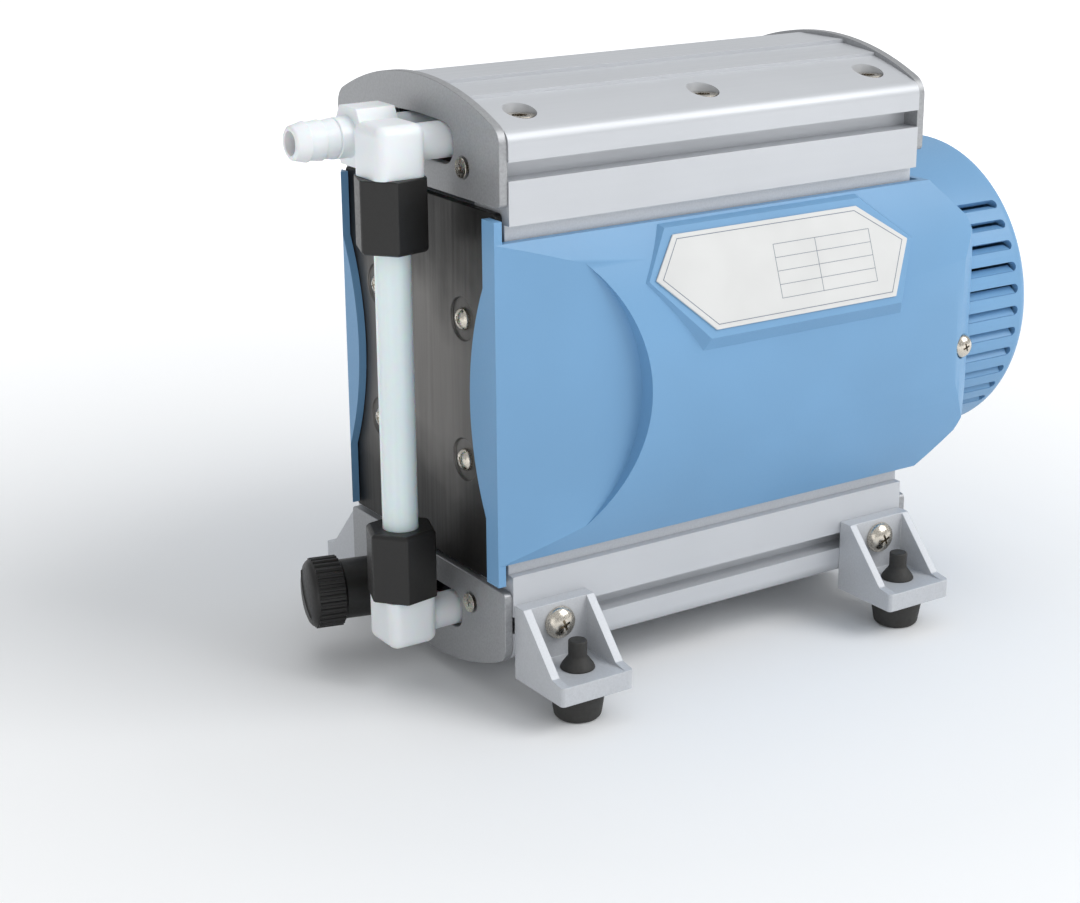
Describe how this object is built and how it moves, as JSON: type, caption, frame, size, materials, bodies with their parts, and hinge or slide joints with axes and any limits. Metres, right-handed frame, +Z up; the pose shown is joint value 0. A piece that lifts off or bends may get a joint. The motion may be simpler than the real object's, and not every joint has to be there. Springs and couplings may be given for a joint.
{
  "type": "diaphragm vacuum pump",
  "caption": "Oil-free diaphragm vacuum pump: boxer heads in arched aluminium profiles, blue side covers, fan drum, hose nozzles, transfer line, ballast knob and rubber feet.",
  "frame": {"origin": "on the floor, in the middle of the foot pattern, under the crankshaft", "axes": "+X along the crankshaft towards the fan, +Z up, -Y towards the side cover with the type-plate pad"},
  "size_m": [0.2365, 0.135, 0.1709],
  "materials": {
    "profile_alloy": "satin anodised extrusion",
    "cap_grey": "satin grey coated sheet",
    "cast_alloy": "fine blasted casting",
    "plate_steel": "bare sheet with a faint grain",
    "screw_steel": "nickel plated",
    "blue_plastic": "fine textured moulding",
    "sign_foil": "bare white foil",
    "black_plastic": "moulded",
    "white_plastic": "natural fluoropolymer, slightly translucent",
    "tube_plastic": "milky tube",
    "foot_rubber": "matt",
    "diaphragm_rubber": "smooth",
    "inner_alloy": "machined",
    "inner_steel": "machined"
  },
  "bodies": {
    "housing": {"ballast_valve": "black_plastic", "bearing_outer_rings": "inner_steel", "bottom_chamber_plate": "white_plastic", "bottom_elbow": "white_plastic", "bottom_front_cap": "cap_grey", "bottom_front_diaphragm": "diaphragm_rubber", "bottom_head_block": "inner_alloy", "bottom_profile": "profile_alloy", "bottom_rear_cap": "cap_grey", "bottom_rear_diaphragm": "diaphragm_rubber", "bottom_union_nut": "black_plastic", "bottom_valve_sheet": "diaphragm_rubber", "bracket_screws": "screw_steel", "cable_gland": "black_plastic", "cover_screws": "screw_steel", "crankcase": "cast_alloy", "end_screws": "screw_steel", "fan_drum": "blue_plastic", "front_plate": "plate_steel", "head_screws": "screw_steel", "inlet_nozzle": "white_plastic", "left_cover": "blue_plastic", "left_front_bracket": "cast_alloy", "left_front_foot": "foot_rubber", "left_rear_bracket": "cast_alloy", "left_rear_foot": "foot_rubber", "motor_housing": "cast_alloy", "motor_stator": "inner_steel", "outlet_nozzle": "white_plastic", "right_cover": "blue_plastic", "right_front_bracket": "cast_alloy", "right_front_foot": "foot_rubber", "right_rear_bracket": "cast_alloy", "right_rear_foot": "foot_rubber", "top_chamber_plate": "white_plastic", "top_elbow": "white_plastic", "top_front_cap": "cap_grey", "top_front_diaphragm": "diaphragm_rubber", "top_head_block": "inner_alloy", "top_profile": "profile_alloy", "top_rear_cap": "cap_grey", "top_rear_diaphragm": "diaphragm_rubber", "top_union_nut": "black_plastic", "top_valve_sheet": "diaphragm_rubber", "transfer_tube": "tube_plastic", "type_plate": "sign_foil"},
    "crank": {"crankshaft": "inner_steel", "counterweights": "inner_steel", "bearing_inner_rings": "inner_steel", "motor_rotor": "inner_steel", "cooling_fan": "black_plastic"},
    "ballast_control": {"ballast_knob": "black_plastic"},
    "rod_top_front": {"top_front_rod": "inner_alloy", "top_front_clamp_disc": "inner_alloy"},
    "rod_top_rear": {"top_rear_rod": "inner_alloy", "top_rear_clamp_disc": "inner_alloy"},
    "rod_bottom_front": {"bottom_front_rod": "inner_alloy", "bottom_front_clamp_disc": "inner_alloy"},
    "rod_bottom_rear": {"bottom_rear_rod": "inner_alloy", "bottom_rear_clamp_disc": "inner_alloy"}
  },
  "joints": [
    {"name": "crank_turn", "type": "hinge", "parent": "housing", "child": "crank", "pos_m": [0, 0, 0.0875], "axis": [1, 0, 0], "continuous": true, "deforming": ["top_front_diaphragm", "top_rear_diaphragm", "bottom_front_diaphragm", "bottom_rear_diaphragm"]},
    {"name": "ballast_turn", "type": "hinge", "parent": "housing", "child": "ballast_control", "pos_m": [-0.09735, 0.01732, 0.0202], "axis": [-0.9703, 0.2419, 0], "range_deg": [0, 180]},
    {"name": "top_front_rod_turn", "type": "hinge", "parent": "crank", "child": "rod_top_front", "pos_m": [-0.03, 0, 0.09], "axis": [1, 0, 0], "continuous": true},
    {"name": "top_rear_rod_turn", "type": "hinge", "parent": "crank", "child": "rod_top_rear", "pos_m": [0.03, 0, 0.085], "axis": [1, 0, 0], "continuous": true},
    {"name": "bottom_front_rod_turn", "type": "hinge", "parent": "crank", "child": "rod_bottom_front", "pos_m": [-0.03, 0, 0.09], "axis": [1, 0, 0], "continuous": true},
    {"name": "bottom_rear_rod_turn", "type": "hinge", "parent": "crank", "child": "rod_bottom_rear", "pos_m": [0.03, 0, 0.085], "axis": [1, 0, 0], "continuous": true}
  ],
  "couplings": [
    {"joint": "top_front_rod_turn", "follows": "crank_turn", "ratio": -1},
    {"joint": "top_rear_rod_turn", "follows": "crank_turn", "ratio": -1},
    {"joint": "bottom_front_rod_turn", "follows": "crank_turn", "ratio": -1},
    {"joint": "bottom_rear_rod_turn", "follows": "crank_turn", "ratio": -1}
  ]
}
